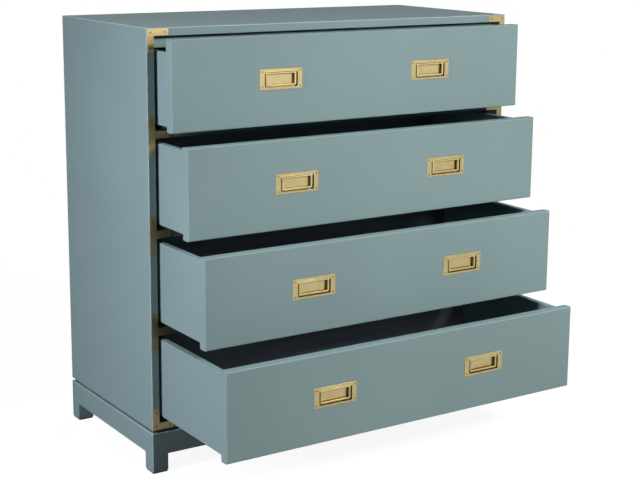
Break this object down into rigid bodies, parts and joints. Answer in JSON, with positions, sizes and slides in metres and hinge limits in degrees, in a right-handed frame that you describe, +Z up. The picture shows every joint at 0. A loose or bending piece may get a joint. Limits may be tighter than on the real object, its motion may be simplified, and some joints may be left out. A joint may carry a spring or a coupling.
{
  "type": "chest of drawers",
  "caption": "Painted campaign style chest of drawers: flat inset drawers on runners, flush brass bail pulls, inlaid brass corner pieces and a low framed base.",
  "frame": {"origin": "on the floor, under the middle of the carcass's footprint", "axes": "+X to the chest's right seen from its front, +Y to its back, +Z up; the drawers open towards -Y"},
  "size_m": [0.914, 0.691, 0.923],
  "materials": {
    "painted_wood": "satin grey-green lacquer",
    "dark_wood": "dark stained matt",
    "bare_wood": "bare beech",
    "brass": "brushed brass",
    "zinc_steel": "zinc plated",
    "nylon": "black moulded"
  },
  "bodies": {
    "carcass": {"top_panel": "painted_wood", "bottom_panel": "painted_wood", "left_side_panel": "painted_wood", "right_side_panel": "painted_wood", "back_panel": "dark_wood", "drawer_divider_1": "painted_wood", "drawer_divider_2": "painted_wood", "drawer_divider_3": "painted_wood", "top_rail": "painted_wood", "carcass_dowels": "bare_wood", "base_front_apron": "painted_wood", "base_rear_apron": "painted_wood", "base_end_aprons": "painted_wood", "base_feet": "painted_wood", "base_spacer_board": "dark_wood", "foot_glides": "nylon", "corner_brackets": "brass", "tee_brackets": "brass", "bracket_screws": "brass", "runner_cabinet_members": "zinc_steel"},
    "drawer_1": {"drawer_1_front": "painted_wood", "drawer_1_left_side": "painted_wood", "drawer_1_right_side": "painted_wood", "drawer_1_back": "dark_wood", "drawer_1_bottom": "dark_wood", "drawer_1_runners": "zinc_steel", "drawer_1_pull_plates": "brass", "drawer_1_pull_screws": "brass"},
    "bail_1_left": {"drawer_1_left_bail": "brass"},
    "bail_1_right": {"drawer_1_right_bail": "brass"},
    "drawer_2": {"drawer_2_front": "painted_wood", "drawer_2_left_side": "painted_wood", "drawer_2_right_side": "painted_wood", "drawer_2_back": "dark_wood", "drawer_2_bottom": "dark_wood", "drawer_2_runners": "zinc_steel", "drawer_2_pull_plates": "brass", "drawer_2_pull_screws": "brass"},
    "bail_2_left": {"drawer_2_left_bail": "brass"},
    "bail_2_right": {"drawer_2_right_bail": "brass"},
    "drawer_3": {"drawer_3_front": "painted_wood", "drawer_3_left_side": "painted_wood", "drawer_3_right_side": "painted_wood", "drawer_3_back": "dark_wood", "drawer_3_bottom": "dark_wood", "drawer_3_runners": "zinc_steel", "drawer_3_pull_plates": "brass", "drawer_3_pull_screws": "brass"},
    "bail_3_left": {"drawer_3_left_bail": "brass"},
    "bail_3_right": {"drawer_3_right_bail": "brass"},
    "drawer_4": {"drawer_4_front": "painted_wood", "drawer_4_left_side": "painted_wood", "drawer_4_right_side": "painted_wood", "drawer_4_back": "dark_wood", "drawer_4_bottom": "dark_wood", "drawer_4_runners": "zinc_steel", "drawer_4_pull_plates": "brass", "drawer_4_pull_screws": "brass"},
    "bail_4_left": {"drawer_4_left_bail": "brass"},
    "bail_4_right": {"drawer_4_right_bail": "brass"}
  },
  "joints": [
    {"name": "drawer_1_slide", "type": "slide", "parent": "carcass", "child": "drawer_1", "axis": [0, -1, 0], "range_m": [-0.06861, 0.22139]},
    {"name": "bail_1_left_hinge", "type": "hinge", "parent": "drawer_1", "child": "bail_1_left", "pos_m": [-0.19, -0.27331, 0.82837], "axis": [-1, 0, 0], "range_deg": [-5, 90]},
    {"name": "bail_1_right_hinge", "type": "hinge", "parent": "drawer_1", "child": "bail_1_right", "pos_m": [0.19, -0.27331, 0.82837], "axis": [-1, 0, 0], "range_deg": [-5, 90]},
    {"name": "drawer_2_slide", "type": "slide", "parent": "carcass", "child": "drawer_2", "axis": [0, -1, 0], "range_m": [-0.1316, 0.1584]},
    {"name": "bail_2_left_hinge", "type": "hinge", "parent": "drawer_2", "child": "bail_2_left", "pos_m": [-0.19, -0.3363, 0.62513], "axis": [-1, 0, 0], "range_deg": [-5, 90]},
    {"name": "bail_2_right_hinge", "type": "hinge", "parent": "drawer_2", "child": "bail_2_right", "pos_m": [0.19, -0.3363, 0.62513], "axis": [-1, 0, 0], "range_deg": [-5, 90]},
    {"name": "drawer_3_slide", "type": "slide", "parent": "carcass", "child": "drawer_3", "axis": [0, -1, 0], "range_m": [-0.19671, 0.09329]},
    {"name": "bail_3_left_hinge", "type": "hinge", "parent": "drawer_3", "child": "bail_3_left", "pos_m": [-0.19, -0.40141, 0.42188], "axis": [-1, 0, 0], "range_deg": [-5, 90]},
    {"name": "bail_3_right_hinge", "type": "hinge", "parent": "drawer_3", "child": "bail_3_right", "pos_m": [0.19, -0.40141, 0.42188], "axis": [-1, 0, 0], "range_deg": [-5, 90]},
    {"name": "drawer_4_slide", "type": "slide", "parent": "carcass", "child": "drawer_4", "axis": [0, -1, 0], "range_m": [-0.2775, 0.0125]},
    {"name": "bail_4_left_hinge", "type": "hinge", "parent": "drawer_4", "child": "bail_4_left", "pos_m": [-0.19, -0.4822, 0.21863], "axis": [-1, 0, 0], "range_deg": [-5, 90]},
    {"name": "bail_4_right_hinge", "type": "hinge", "parent": "drawer_4", "child": "bail_4_right", "pos_m": [0.19, -0.4822, 0.21863], "axis": [-1, 0, 0], "range_deg": [-5, 90]}
  ]
}
